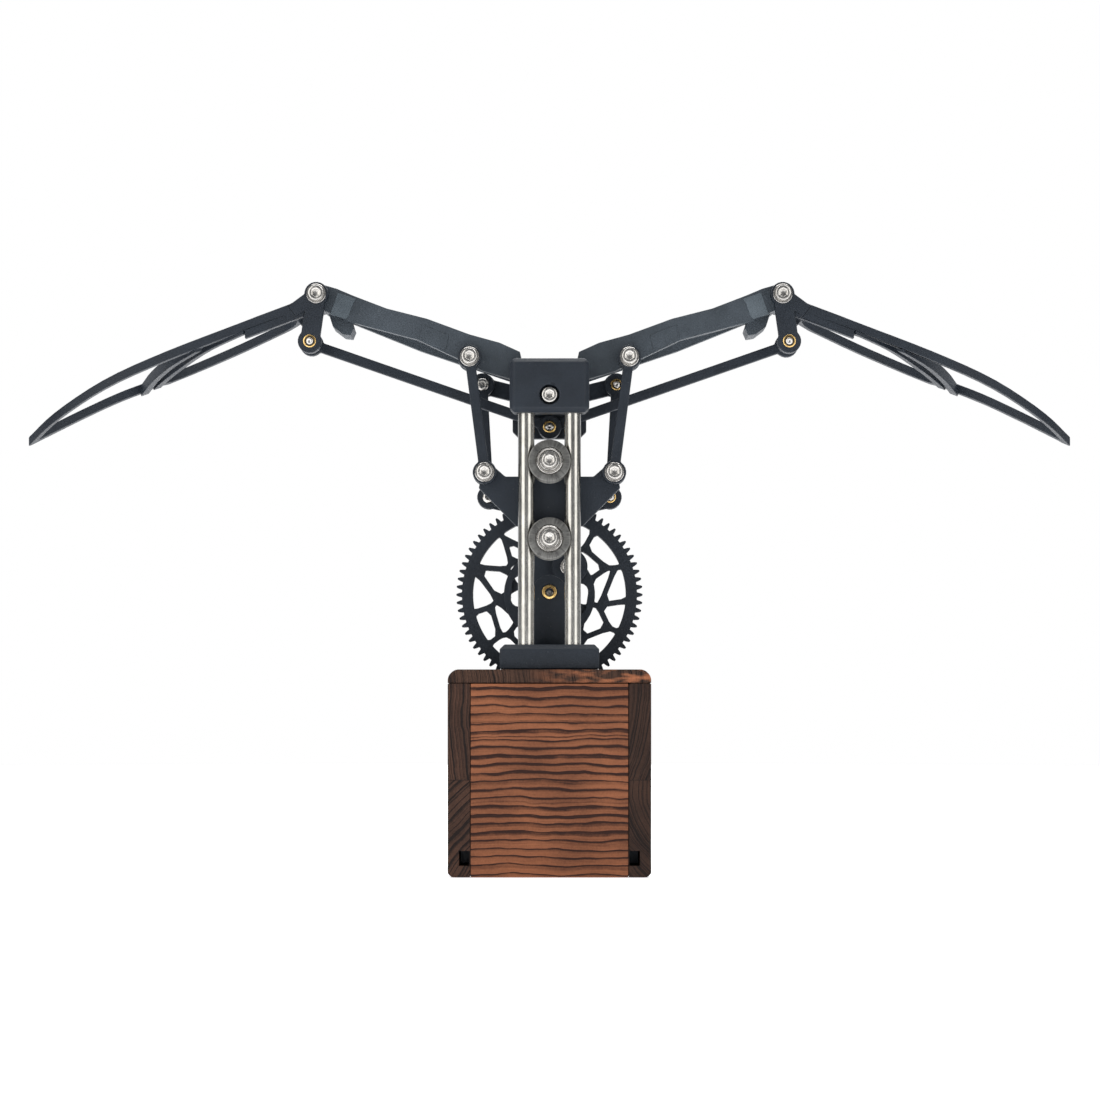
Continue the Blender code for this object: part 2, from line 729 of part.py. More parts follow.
def build_crank_web(origin, axle_bore):
    """Round plate with two oval windows and a boss towards the crank pin."""
    holes = [axle_bore]
    for angle in (CRANK_ANGLE + 120, CRANK_ANGLE - 62):
        ends = [crank_point(CRANK_WINDOW_RADIUS, angle + step) for step in (-14, 14)]
        holes += [disc(end, CRANK_WINDOW_WIDTH / 2, PIN_SIDES) for end in ends]
        holes.append(bar(*ends, CRANK_WINDOW_WIDTH))
    plate = disc(GEAR_CENTRE, CRANK_WEB_RADIUS, 2 * BOSS_SIDES)
    front_plate("crank_web", "black_plastic", [(*CRANK_WEB_LAYER, [plate], holes)], origin)


def wrist_point():
    """Pivot of the connecting rod's upper end, straight above the gear."""
    crank = crank_point(CRANK_RADIUS, CRANK_ANGLE)
    rise = math.sqrt(CONROD_LENGTH**2 - crank[0] ** 2)
    return (0.0, crank[1] + rise)


def build_conrod():
    wrist = wrist_point()
    crank = crank_point(CRANK_RADIUS, CRANK_ANGLE)
    origin = (wrist[0], depth(CONROD_LAYER[0]), wrist[1])
    solids = [disc(wrist, CONROD_SMALL_END), disc(crank, CONROD_BIG_END, 36), bar(wrist, crank, CONROD_WIDTH)]
    holes = [bore(wrist), bore(crank)]
    front_plate("connecting_rod", "black_plastic", [(*CONROD_LAYER, solids, holes)], origin)
    cap_screw("crank_pin", crank, CONROD_LAYER[0], CRANK_WEB_LAYER[0] - GAP, origin, 0)
    pin("wrist_pin", wrist, REAR_ARM_LAYER[0] - 4.0, CRANK_WEB_LAYER[0] - GAP, (0, 0, 0))


def build_motor(centre):
    shaft_end = GEAR_LAYER[1] + 1.0
    gearbox_back = GEAR_LAYER[0] - 3.5
    gearbox_front = gearbox_back - GEARBOX_LENGTH
    motor_front = gearbox_front - MOTOR_CAN_LENGTH
    bottom = centre[1] - MOTOR_HALF_HEIGHT
    top = centre[1] + MOTOR_HALF_HEIGHT
    body = rectangle((-MOTOR_HALF_WIDTH, bottom), (MOTOR_HALF_WIDTH, top))
    round_can = disc(centre, MOTOR_HALF_WIDTH - 0.1)
    can = [(u, min(max(v, bottom + 0.05), top - 0.05)) for u, v in round_can]
    layers = [
        (motor_front, gearbox_front, [can], []),
        (gearbox_front, gearbox_back, [body], []),
        (gearbox_back, shaft_end, [disc(centre, SCREW_RADIUS, PIN_SIDES)], []),
    ]
    front_plate("gear_motor", "motor_metal", layers)
    under_top = BOX_HEIGHT - TOP_BOARD - GAP
    inner = MOTOR_HALF_WIDTH + GAP
    pocket = rectangle((-inner, bottom - GAP), (inner, top + GAP))
    cradle = rectangle((-CRADLE_HALF_WIDTH, bottom - GAP - CRADLE_WALL), (CRADLE_HALF_WIDTH, under_top))
    ears = rectangle((-CRADLE_EAR_HALF_WIDTH, under_top - CRADLE_WALL), (CRADLE_EAR_HALF_WIDTH, under_top))
    mount_layer = (gearbox_front + 0.5, gearbox_back - 0.5)
    front_plate("motor_mount", "black_plastic", [(*mount_layer, [cradle, ears], [pocket])])


# Sliding carriage and rollers


def build_carriage():
    right = [(12.1, 126.1), (25.6, 139.8), (24.0, 147.2), (19.6, 147.2), (16.0, 144.0)]
    wide = right + [(-x, z) for x, z in reversed(right)]
    tab = chamfered_outline(5.6, 115.6, 154.4, 1.4, 1.4)
    bosses = [disc((side * PUSH_BOTTOM[0], PUSH_BOTTOM[1]), BOSS_RADIUS) for side in (-1, 1)]
    bores = [bore((side * PUSH_BOTTOM[0], PUSH_BOTTOM[1])) for side in (-1, 1)]
    bores += [bore((0.0, height)) for height in ROLLER_HEIGHTS.values()]
    column = rectangle((-7.0, 132.2), (7.0, 143.4))
    rear = [column, [(7.0, 131.0), (22.4, 134.2), (22.4, 141.9), (7.0, 141.9)]]
    rear.append([(-7.0, 141.9), (-22.4, 141.9), (-22.4, 134.2), (-7.0, 131.0)])
    rear += [disc((side * REAR_PUSH_BOTTOM[0], REAR_PUSH_BOTTOM[1]), BOSS_RADIUS) for side in (-1, 1)]
    rear_bores = [bore((side * REAR_PUSH_BOTTOM[0], REAR_PUSH_BOTTOM[1])) for side in (-1, 1)]
    wrist = wrist_point()
    wrist_bore = bore(wrist)
    socket_front = REAR_ARM_LAYER[0] - 4.3
    layers = [
        (*CARRIAGE_LAYER, [wide, tab, *bosses], bores),
        (CARRIAGE_LAYER[1], socket_front, [column], []),
        (socket_front, REAR_ARM_LAYER[0], [column], [wrist_bore]),
        (*REAR_ARM_LAYER, rear, [*rear_bores, wrist_bore]),
    ]
    front_plate("carriage", "black_plastic", layers, (0, depth(0), PUSH_BOTTOM[1]))
    for name, height in ROLLER_HEIGHTS.items():
        build_roller(name, height)


def build_roller(name, height):
    """Grooved roller that runs between the two rods."""
    groove = ROD_RADIUS + GROOVE_CLEARANCE
    reach = ROD_SPACING / 2
    edge = math.sqrt(groove**2 - (reach - ROLLER_RADIUS) ** 2)
    steps = 6
    half = ROLLER_HALF_WIDTH
    inside = SCREW_RADIUS + BORE_PLAY
    outer = [(ROLLER_RADIUS - 0.5, -half), (ROLLER_RADIUS, -half + 0.5)]
    for step in range(steps + 1):
        position = -edge + 2 * edge * step / steps
        outer.append((reach - math.sqrt(groove**2 - position**2), position))
    outer += [(ROLLER_RADIUS, half - 0.5), (ROLLER_RADIUS - 0.5, half)]
    profile = outer + [(inside, half), (inside, -half)]
    origin = (0.0, depth(0.0), height)
    add_object(name, turned(profile, (0.0, height), "y", ROLLER_SIDES), "steel", origin)
    cap_screw(f"{name}_screw", (0.0, height), -half - 0.2, CARRIAGE_LAYER[1] + 0.5, (0, depth(0), height))


# Wings and links, one side at a time


def build_side(side, word):
    def at(point):
        return (side * point[0], point[1])

    build_inner_wing(side, word)
    build_outer_wing(side, word)
    elbow = at(ELBOW)
    elbow_origin = (elbow[0], depth(HORN_LAYER[0]), elbow[1])
    cap_screw(f"{word}_elbow_pin", elbow, HORN_LAYER[0], REAR_EAR_LAYER[1] + 0.6, elbow_origin, 0)
    link_rod(f"{word}_front_pushrod", FRONT_PUSHROD_LAYER, at(PUSH_BOTTOM), at(PUSH_TOP))
    low = at(PUSH_BOTTOM)
    low_origin = (low[0], depth(FRONT_PUSHROD_LAYER[0]), low[1])
    cap_screw(f"{word}_pushrod_lower_screw", low, FRONT_PUSHROD_LAYER[0], CARRIAGE_LAYER[1] - 0.4, low_origin)
    top_end = FRONT_SPAR_LAYER[0] - GAP
    cap_screw(f"{word}_pushrod_upper_screw", at(PUSH_TOP), FRONT_PUSHROD_LAYER[0], top_end, low_origin)
    link_rod(f"{word}_rear_pushrod", REAR_PUSHROD_LAYER, at(REAR_PUSH_BOTTOM), at(REAR_PUSH_TOP))
    rear = at(REAR_PUSH_BOTTOM)
    rear_origin = (rear[0], depth(REAR_PUSHROD_LAYER[0]), rear[1])
    rear_seat = REAR_PUSHROD_LAYER[0]
    rear_top_end = REAR_ARM_LAYER[0] - GAP
    low_head_screw(f"{word}_rear_lower_screw", rear, rear_seat, REAR_ARM_LAYER[1] - 0.4, rear_origin)
    low_head_screw(f"{word}_rear_upper_screw", at(REAR_PUSH_TOP), rear_seat, rear_top_end, rear_origin)
    layer = LEFT_LINK_LAYER if side < 0 else RIGHT_LINK_LAYER
    link_rod(f"{word}_control_link", layer, at(BODY_LINK), at(HORN_TIP))
    link_origin = (BODY_LINK[0], depth(layer[0]), BODY_LINK[1])
    pin(f"{word}_horn_pin", at(HORN_TIP), HORN_LAYER[1] + GAP, layer[1] - 0.4, link_origin)
    build_rocker(side, word)


def link_rod(name, layer, start, end):
    """Flat link with a boss and a bore at each end, turning about its start."""
    solids = [disc(start, BOSS_RADIUS), disc(end, BOSS_RADIUS), bar(start, end, LINK_WIDTH)]
    holes = [bore(start), bore(end)]
    front_plate(name, "black_plastic", [(*layer, solids, holes)], (start[0], depth(layer[0]), start[1]))


def low_head_screw(name, centre, seat, high, origin):
    head = 1.3
    radius = 2.4
    front = seat - GAP / 3 - head
    profile = [
        (0, front),
        (radius, front),
        (radius, front + head),
        (SCREW_RADIUS, front + head),
        (SCREW_RADIUS, high),
        (0, high),
    ]
    add_object(name, turned(profile, centre), "steel", origin)


def capsule(start, end, width):
    """Bar with round ends."""
    return [disc(start, width / 2), disc(end, width / 2), bar(start, end, width)]


def build_inner_wing(side, word):
    ends = [disc(SHOULDER, WING_BOSS_RADIUS), disc(ELBOW, WING_BOSS_RADIUS)]
    front = mirror_all([list(SPAR_LOWER_EDGE + SPAR_UPPER_EDGE), *ends, disc(PUSH_TOP, BOSS_RADIUS)], side)
    rear = ends + capsule(SHOULDER, SPAR_KNEE, REAR_SPAR_WIDTH) + capsule(SPAR_KNEE, ELBOW, REAR_SPAR_WIDTH)
    cross = [disc(ELBOW, WING_BOSS_RADIUS), *capsule(*ELBOW_BLOCK, ELBOW_BLOCK_WIDTH), list(ELBOW_CLIP)]
    cross += capsule(*ROOT_BLOCK, ROOT_BLOCK_WIDTH)
    elbow_bore = mirrored(bore(ELBOW), side)
    shoulder_bore = mirrored(bore(SHOULDER), side)
    layers = [
        (*FRONT_SPAR_LAYER, front, [elbow_bore, shoulder_bore]),
        (FRONT_SPAR_LAYER[1], REAR_SPAR_LAYER[0], mirror_all(cross, side), [elbow_bore]),
        (*REAR_SPAR_LAYER, mirror_all(rear + cross, side), [elbow_bore, shoulder_bore]),
    ]
    origin = (side * SHOULDER[0], depth(FRONT_SPAR_LAYER[0]), SHOULDER[1])
    front_plate(f"{word}_inner_wing", "black_plastic", layers, origin)


def build_rocker(side, word):
    """Short arm on its own lower pivot behind the hip plate, moved by the rear pushrod."""
    solids = [disc(ROCKER_PIVOT, 3.4), disc(REAR_PUSH_TOP, 4.6), bar(ROCKER_PIVOT, REAR_PUSH_TOP, 6.0)]
    bores = [bore(ROCKER_PIVOT)]
    origin = (side * ROCKER_PIVOT[0], depth(REAR_ARM_LAYER[0]), ROCKER_PIVOT[1])
    layers = [(*REAR_ARM_LAYER, mirror_all(solids, side), mirror_all(bores, side))]
    front_plate(f"{word}_rear_rocker", "black_plastic", layers, origin)


def wing_height(span):
    """Height of the outer wing's top edge at a distance from the middle."""
    heights = smooth_curve(SPAN_HEIGHTS, 8)
    for (x0, z0), (x1, z1) in zip(heights, heights[1:]):
        if span <= x1:
            return z0 + (z1 - z0) * (span - x0) / (x1 - x0)
    return heights[-1][1]


def build_outer_wing(side, word):
    strips = [
        ribbon(smooth_curve(LEADING_EDGE), STRIP_WIDTH),
        ribbon(smooth_curve(PRIMARY_TRAILING), STRIP_WIDTH),
        ribbon(smooth_curve(SECOND_TRAILING), STRIP_WIDTH),
        ribbon(smooth_curve(ROOT_EDGE), STRIP_WIDTH),
    ]
    strips += [bar(*ends, STRIP_WIDTH) for ends in zip(NOTCH, NOTCH[1:])]
    for joint in (LEADING_EDGE[-1], SECOND_TRAILING[-1], ROOT_EDGE[-1], *NOTCH):
        strips.append(disc(joint, STRIP_WIDTH / 2, 16))
    quills = [ribbon(smooth_curve(quill), STRIP_WIDTH) for quill in (OUTER_QUILL, INNER_QUILL)]
    root_plate = bar(*ROOT_PLATE, STRIP_WIDTH)
    layers = [
        (-ROOT_PLATE_HEIGHT, -QUILL_HEIGHT, [root_plate], []),
        (-QUILL_HEIGHT, -STRIP_HEIGHT, [root_plate, *quills], []),
        (-STRIP_HEIGHT, 0.0, strips + [root_plate, *quills], []),
    ]

    def place(span, back, level):
        return (side * span, depth(back), wing_height(span) + level)

    frame = layered(layers, place)
    origin = (side * ELBOW[0], depth(HORN_LAYER[0]), ELBOW[1])
    wing = add_object(f"{word}_outer_wing", frame, "black_plastic", origin)
    bores = [mirrored(bore(ELBOW), side)]
    ear = [disc(ELBOW, BOSS_RADIUS), bar(ELBOW, WING_ROOT, EAR_WIDTH)]
    horn = ear + [disc(HORN_TIP, BOSS_RADIUS), bar(ELBOW, HORN_TIP, HORN_WIDTH)]
    front_layer = (*HORN_LAYER, mirror_all(horn, side), bores)
    rear_layer = (*REAR_EAR_LAYER, mirror_all(ear, side), bores)
    front_ear = front_plate(f"{word}_horn_ear", "black_plastic", [front_layer])
    rear_ear = front_plate(f"{word}_rear_ear", "black_plastic", [rear_layer])
    cut(wing, front_ear, "UNION")
    cut(wing, rear_ear, "UNION")


def main():
    clear_scene()
    build_box()
    build_frame()
    build_drive()
    build_carriage()
    build_side(-1, "left")
    build_side(1, "right")


main()
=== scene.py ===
"""Looks of the flapping-wing model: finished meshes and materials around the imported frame.

Lengths are millimetres unless a name ends in _m; MM turns them into Blender's metres.
X points right, Y away from the front and Z up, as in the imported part.
"""

import json
import math

import bmesh
import bpy
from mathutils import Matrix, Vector

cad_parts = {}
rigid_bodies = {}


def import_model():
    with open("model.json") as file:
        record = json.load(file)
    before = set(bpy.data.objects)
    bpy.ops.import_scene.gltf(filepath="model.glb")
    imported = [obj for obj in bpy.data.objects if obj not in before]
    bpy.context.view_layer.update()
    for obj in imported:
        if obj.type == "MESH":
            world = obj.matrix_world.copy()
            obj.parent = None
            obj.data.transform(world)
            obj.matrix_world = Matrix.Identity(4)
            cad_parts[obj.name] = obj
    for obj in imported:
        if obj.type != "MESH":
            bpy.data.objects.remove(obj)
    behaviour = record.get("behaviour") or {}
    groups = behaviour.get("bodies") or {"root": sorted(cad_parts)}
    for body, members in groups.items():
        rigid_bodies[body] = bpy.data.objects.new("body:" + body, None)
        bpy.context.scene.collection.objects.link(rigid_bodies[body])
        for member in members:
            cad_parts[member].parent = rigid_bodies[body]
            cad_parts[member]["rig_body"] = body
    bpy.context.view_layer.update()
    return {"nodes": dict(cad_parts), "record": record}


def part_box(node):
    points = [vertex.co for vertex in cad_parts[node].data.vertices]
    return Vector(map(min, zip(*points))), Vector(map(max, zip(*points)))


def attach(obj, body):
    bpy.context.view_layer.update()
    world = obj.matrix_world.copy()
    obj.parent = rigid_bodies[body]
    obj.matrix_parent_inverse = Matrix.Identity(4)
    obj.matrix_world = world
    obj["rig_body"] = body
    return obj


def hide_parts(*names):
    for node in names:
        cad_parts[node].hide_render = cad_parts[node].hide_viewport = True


MM = 0.001
SMOOTH_ANGLE = math.radians(38)
BEVEL_ANGLE = math.radians(28)

# Camera of the reference view, measured from the plane of the two guide rods
CAMERA_DISTANCE = 1000.0
CAMERA_HEIGHT = 63.1
LENS = 90.9
SENSOR_WIDTH = 36.0
FRAME_SHIFT = (0.0005, 0.1364)

# Fasteners
HEAD_RADIUS = 2.75
HEAD_HEIGHT = 2.6
SOCKET_APOTHEM = 1.3
SOCKET_DEPTH = 1.4
WASHER_RADIUS = 3.5
WASHER_THICKNESS = 0.6
SHANK_RADIUS = 1.5
TIP_RADIUS = 1.3
KNURL_DEPTH = 0.13
SCREW_SIDES = 48

# Rollers and the bearing in each of them
ROLLER_BORE = 4.95
ROLLER_GROOVE_PLAY = 0.3
GROOVE_STEPS = 14
BEARING_BORE = 1.75
BEARING_RADIUS = 4.9

# Wooden box: height of the joint in the side boards, and how far the glue lines stay behind the faces
BOARD_JOINT = 34.6
CORNER_REACH = 3.0
SEAM_SET_BACK = (0.35, 0.45)
SEAM_OVERLAP = 0.25

# Raised pads on the front of the inner wings, as (x, z) on the right one
ELBOW_PAD = ((76.7, 210.8), (70.1, 208.5), (71.2, 206.7), (72.8, 202.3), (73.8, 201.2), (79.6, 202.9))
ROOT_PAD = ((46.2, 199.1), (36.4, 195.4), (37.6, 189.9), (47.3, 193.4))
PAD_PROUD = 0.25
PAD_DEPTH = 1.0

# Colours, as linear red, green and blue
PLASTIC_TONES = ((0.0064, 0.0108, 0.0180), (0.0122, 0.0188, 0.0290))
SPAR_TONES = ((0.026, 0.035, 0.045), (0.052, 0.066, 0.082))
# The elbow pad's lighter tones are a painted highlight, standing for the light its tilted face would catch
PAD_PAINTED_HIGHLIGHT_TONES = ((0.060, 0.078, 0.094), (0.105, 0.130, 0.152))
PLASTIC_DUST = (0.12, 0.13, 0.14)
SCREW_STEEL = (0.66, 0.64, 0.61)
ROD_STEEL = (0.62, 0.605, 0.565)
WARM_WOOD = (0.325, 0.120, 0.057)
BURNT_WOOD = (0.030, 0.012, 0.009)
SIDE_WOOD = (0.090, 0.044, 0.029)
DIM_WOOD = (0.055, 0.028, 0.019)
LID_WOOD = (0.085, 0.044, 0.029)
BLACK_WOOD = (0.013, 0.008, 0.007)

# Stage, in metres
FLOOR_RADIUS_M = 1.7
FLOOR_DROP_M = 0.0002
FLOOR_RINGS = 6
FLOOR_SIDES = 48
AIM_M = (0.0, 0.0, 0.11)

# Area lights: place and size in metres, power in watts, colour
SOFT_BOXES = {
    "left_box": ((-0.95, -1.0, 0.6), (1.1, 1.2), 7.5, (1.0, 0.985, 0.95)),
    "right_box": ((1.0, -1.0, 0.5), (0.9, 1.2), 5.5, (1.0, 0.99, 0.96)),
    "top_box": ((0.0, 0.1, 1.5), (1.6, 1.4), 22.0, (1.0, 1.0, 1.0)),
    "rear_box": ((0.2, 1.4, 1.0), (1.4, 0.9), 14.0, (1.0, 1.0, 1.0)),
}

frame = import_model()
slots = {row["node"]: row["material_slot"] for row in frame["record"]["subparts"]}


# Node helpers


class Graph:
    """A material's node tree, with short calls for the nodes used here."""

    def __init__(self, name):
        self.material = bpy.data.materials.new(name)
        self.material.use_nodes = True
        self.tree = self.material.node_tree
        self.shader = self.tree.nodes["Principled BSDF"]
        self.coordinates = self.node("ShaderNodeTexCoord").outputs["Object"]

    def node(self, kind, **settings):
        made = self.tree.nodes.new(kind)
        for name, value in settings.items():
            setattr(made, name, value)
        return made

    def feed(self, socket, value):
        if isinstance(value, bpy.types.NodeSocket):
            self.tree.links.new(value, socket)
        else:
            socket.default_value = value

    def maths(self, operation, *values, clamp=False):
        made = self.node("ShaderNodeMath", operation=operation, use_clamp=clamp)
        for socket, value in zip(made.inputs, values):
            self.feed(socket, value)
        return made.outputs[0]

    def vector(self, operation, *values):
        made = self.node("ShaderNodeVectorMath", operation=operation)
        for socket, value in zip(made.inputs, values):
            self.feed(socket, value)
        return made.outputs["Value" if operation in ("LENGTH", "DISTANCE") else "Vector"]

    def stretched(self, scale):
        """Object coordinates in millimetres, scaled on each axis."""
        return self.vector("MULTIPLY", self.coordinates, tuple(s / MM for s in scale))

    def noise(self, vector, scale=1.0, detail=2.0, roughness=0.5):
        made = self.node("ShaderNodeTexNoise")
        self.feed(made.inputs["Vector"], vector)
        made.inputs["Scale"].default_value = scale
        made.inputs["Detail"].default_value = detail
        made.inputs["Roughness"].default_value = roughness
        return made.outputs["Fac"]

    def remap(self, value, low, high, to_low=0.0, to_high=1.0):
        made = self.node("ShaderNodeMapRange")
        for socket, number in zip(made.inputs, (value, low, high, to_low, to_high)):
            self.feed(socket, number)
        return made.outputs["Result"]

    def blend(self, factor, first, second):
        made = self.node("ShaderNodeMix", data_type="RGBA")
        for socket, value in ((0, factor), (6, first), (7, second)):
            rgba = (*value, 1.0) if isinstance(value, tuple) else value
            self.feed(made.inputs[socket], rgba)
        return made.outputs[2]

    def split(self, vector):
        made = self.node("ShaderNodeSeparateXYZ")
        self.feed(made.inputs[0], vector)
        return made.outputs

    def bump(self, height, distance, strength=1.0, under=None):
        made = self.node("ShaderNodeBump")
        made.inputs["Strength"].default_value = strength
        made.inputs["Distance"].default_value = distance * MM
        self.feed(made.inputs["Height"], height)
        if under is not None:
            self.feed(made.inputs["Normal"], under)
        return made.outputs["Normal"]

    def finish(self, colour, roughness, normal=None, metallic=0.0):
        self.feed(self.shader.inputs["Base Color"], colour)
        self.feed(self.shader.inputs["Roughness"], roughness)
        self.shader.inputs["Metallic"].default_value = metallic
        if normal is not None:
            self.feed(self.shader.inputs["Normal"], normal)
        return self.material


# Materials

LAYER_AXES = {"x": 0, "y": 1, "z": 2}
LAYER_PITCH = 0.28


def printed_plastic(name, layer_axis="y", grain=1.0, tones=PLASTIC_TONES):
    """Matte black print: layer lines across one axis, plate grain, faint mottling and light dust specks."""
    deep, pale = tones
    g = Graph(name)
    along = g.split(g.stretched((1, 1, 1)))[LAYER_AXES[layer_axis]]
    layers = g.maths("SINE", g.maths("MULTIPLY", along, 2 * math.pi / LAYER_PITCH))
    fine = g.noise(g.stretched((1, 1, 1)), 1.7, 3.0, 0.6)
    broad = g.noise(g.stretched((1, 1, 1)), 0.07, 3.0)
    speck = g.remap(g.noise(g.stretched((1, 1, 1)), 0.9, 1.0), 0.735, 0.80)
    shade = g.remap(broad, 0.3, 0.7)
    colour = g.blend(shade, deep, pale)
    colour = g.blend(g.maths("MULTIPLY", speck, 0.3), colour, PLASTIC_DUST)
    roughness = g.remap(g.maths("ADD", fine, broad), 0.7, 1.3, 0.44, 0.62)
    normal = g.bump(fine, 0.10 * grain, 0.7)
    normal = g.bump(layers, 0.012, 0.6, normal)
    made = g.finish(colour, roughness, normal)
    g.shader.inputs["Specular IOR Level"].default_value = 0.38
    return made


def polished_steel(name, tint, gloss, scale, depth):
    """Bright turned steel. gloss is its lowest and highest roughness, and its streaks follow the scale."""
    g = Graph(name)
    streaks = g.noise(g.stretched(scale), 1.0, 2.0)
    stains = g.noise(g.stretched((0.35, 0.35, 0.2)), 1.0, 3.0)
    dull = tuple(channel * 0.62 for channel in tint)
    colour = g.blend(g.remap(stains, 0.35, 0.72, 0.0, 0.6), tint, dull)
    roughness = g.remap(streaks, 0.3, 0.7, *gloss)
    return g.finish(colour, roughness, g.bump(streaks, depth, 0.6), 1.0)


def brushed_face(name, centre):
    """Dark turned steel whose scratches run outwards from an axis along Y."""
    g = Graph(name)
    x, y, z = g.split(g.vector("SUBTRACT", g.coordinates, tuple(c * MM for c in centre)))
    angle = g.maths("ARCTAN2", z, x)
    radius = g.maths("SQRT", g.maths("ADD", g.maths("MULTIPLY", x, x), g.maths("MULTIPLY", z, z)))
    combined = g.node("ShaderNodeCombineXYZ")
    g.feed(combined.inputs[0], g.maths("MULTIPLY", g.maths("COSINE", angle), 26.0))
    g.feed(combined.inputs[1], g.maths("MULTIPLY", g.maths("SINE", angle), 26.0))
    g.feed(combined.inputs[2], g.maths("MULTIPLY", radius, 0.35 / MM))
    scratches = g.noise(combined.outputs[0], 1.0, 3.0, 0.6)
    blotches = g.noise(g.stretched((0.3, 0.3, 0.3)), 1.0, 2.0)
    shade = g.maths("ADD", g.remap(scratches, 0.35, 0.65, 0.0, 0.7), g.remap(blotches, 0.4, 0.6, 0.0, 0.3))
    colour = g.blend(shade, (0.10, 0.10, 0.098), (0.27, 0.268, 0.255))
    return g.finish(colour, g.remap(scratches, 0.3, 0.7, 0.30, 0.48), g.bump(scratches, 0.012, 0.8), 1.0)


def bright_brass(name):
    g = Graph(name)
    patina = g.noise(g.stretched((0.8, 0.8, 0.8)), 1.0, 3.0)
    colour = g.blend(g.remap(patina, 0.4, 0.7, 0.0, 0.7), (0.86, 0.60, 0.24), (0.52, 0.31, 0.10))
    return g.finish(colour, g.remap(patina, 0.3, 0.7, 0.16, 0.34), g.bump(patina, 0.02, 0.6), 1.0)


def plated_metal(name):
    g = Graph(name)
    grain = g.noise(g.stretched((3.0, 0.4, 3.0)), 1.0, 3.0)
    colour = g.blend(g.remap(grain, 0.3, 0.7), (0.42, 0.42, 0.44), (0.60, 0.60, 0.61))
    return g.finish(colour, g.remap(grain, 0.3, 0.7, 0.28, 0.45), g.bump(grain, 0.01, 0.6), 1.0)


class Grain:
    """One board's growth rings: their centre across the grain, their spacing, and how far they wander."""

    def __init__(self, centre, spacing, wander=3.0):
        self.centre = centre
        self.spacing = spacing
        self.wander = wander


WAVE_HEIGHT = 4.2
LINE_PEAK = 0.93


def ring_phase(g, across, warp, rings):
    """Position between two growth rings, 0 to 1, for a point across the grain."""
    first = g.maths("SUBTRACT", across[0], rings.centre[0])
    second = g.maths("SUBTRACT", across[1], rings.centre[1])
    squares = g.maths("ADD", g.maths("MULTIPLY", first, first), g.maths("MULTIPLY", second, second))
    distance = g.maths("ADD", g.maths("SQRT", squares), warp)
    uneven = g.node("ShaderNodeTexNoise", noise_dimensions="1D")
    g.feed(uneven.inputs["W"], g.maths("MULTIPLY", distance, 0.16))
    uneven.inputs["Detail"].default_value = 1.0
    distance = g.maths("ADD", distance, g.maths("MULTIPLY", uneven.outputs["Fac"], rings.wander))
    return g.maths("FRACT", g.maths("DIVIDE", distance, rings.spacing))


def scorched_wood(name, grain_axis, rings, light, dark, line_start=0.62, joint=None, painted_highlight=None, wave=1.0):
    """Charred and oiled wood.

    rings holds one Grain, or the lower and the upper one on both sides of joint, a height.
    A dark line fills the end of each ring, from line_start on. The argument after joint holds a warm colour
    and the two places along X between which it fades in: lighter patches, a painted highlight.
    """
    g = Graph(name)
    x, y, z = g.split(g.stretched((1, 1, 1)))
    if grain_axis == "x":
        across, fibre_scale, wave_scale = (y, z), (0.06, 2.4, 2.4), (0.045, 0.05, 0.07)
    else:
        across, fibre_scale, wave_scale = (x, z), (2.4, 0.06, 2.4), (0.10, 0.03, 0.10)
    slow = g.noise(g.stretched(wave_scale), 1.0, 2.5, 0.55)
    warp = g.maths("MULTIPLY", g.maths("SUBTRACT", slow, 0.5), WAVE_HEIGHT * wave)
    phase = ring_phase(g, across, warp, rings[0])
    if joint is not None:
        upper = ring_phase(g, across, warp, rings[1])
        above = g.maths("GREATER_THAN", z, joint)
        swap = g.node("ShaderNodeMix", data_type="FLOAT")
        for socket, value in zip(swap.inputs[:1] + swap.inputs[2:4], (above, phase, upper)):
            g.feed(socket, value)
        phase = swap.outputs[0]
    rise = g.remap(phase, line_start, LINE_PEAK)
    fall = g.remap(phase, LINE_PEAK, 1.0, 1.0, 0.0)
    line = g.maths("MULTIPLY", g.maths("POWER", rise, 1.6), fall)
    presence = g.noise(g.stretched(tuple(s * 1.2 for s in wave_scale)), 2.1, 3.0)
    line = g.maths("MULTIPLY", line, g.remap(presence, 0.32, 0.58, 0.75, 1.25), clamp=True)
    fibre = g.noise(g.stretched(fibre_scale), 1.0, 4.0, 0.7)
    pores = g.noise(g.stretched((1.4, 1.4, 1.4)), 1.0, 4.0, 0.75)
    scorch = g.noise(g.stretched((0.035, 0.035, 0.05)), 1.0, 3.0)
    depth = g.maths("ADD", g.remap(fibre, 0.3, 0.75, 0.0, 0.26), g.remap(pores, 0.35, 0.72, 0.0, 0.20))
    depth = g.maths("ADD", depth, g.remap(scorch, 0.35, 0.70, 0.0, 0.40))
    depth = g.maths("ADD", depth, g.maths("MULTIPLY", line, 0.95), clamp=True)
    colour = g.blend(depth, light, dark)
    # Lighter warm patches fading in along X: a painted highlight
    if painted_highlight is not None:
        side = g.remap(x, painted_highlight[1], painted_highlight[2])
        highlight_patch = g.remap(g.noise(g.stretched((0.13, 0.09, 0.5)), 1.0, 3.0), 0.44, 0.62)
        colour = g.blend(g.maths("MULTIPLY", highlight_patch, side), colour, painted_highlight[0])
    height = g.maths("SUBTRACT", g.maths("MULTIPLY", fibre, 0.25), line)
    if joint is not None:
        seam = g.remap(g.maths("ABSOLUTE", g.maths("SUBTRACT", z, joint)), 0.05, 0.25, 1.0, 0.0)
        colour = g.blend(g.maths("MULTIPLY", seam, 0.6), colour, dark)
        height = g.maths("SUBTRACT", height, seam)
    normal = g.bump(height, 0.35, 0.55)
    g.shader.inputs["Specular IOR Level"].default_value = 0.16
    return g.finish(colour, g.remap(fibre, 0.3, 0.7, 0.55, 0.75), normal)


# Mesh helpers


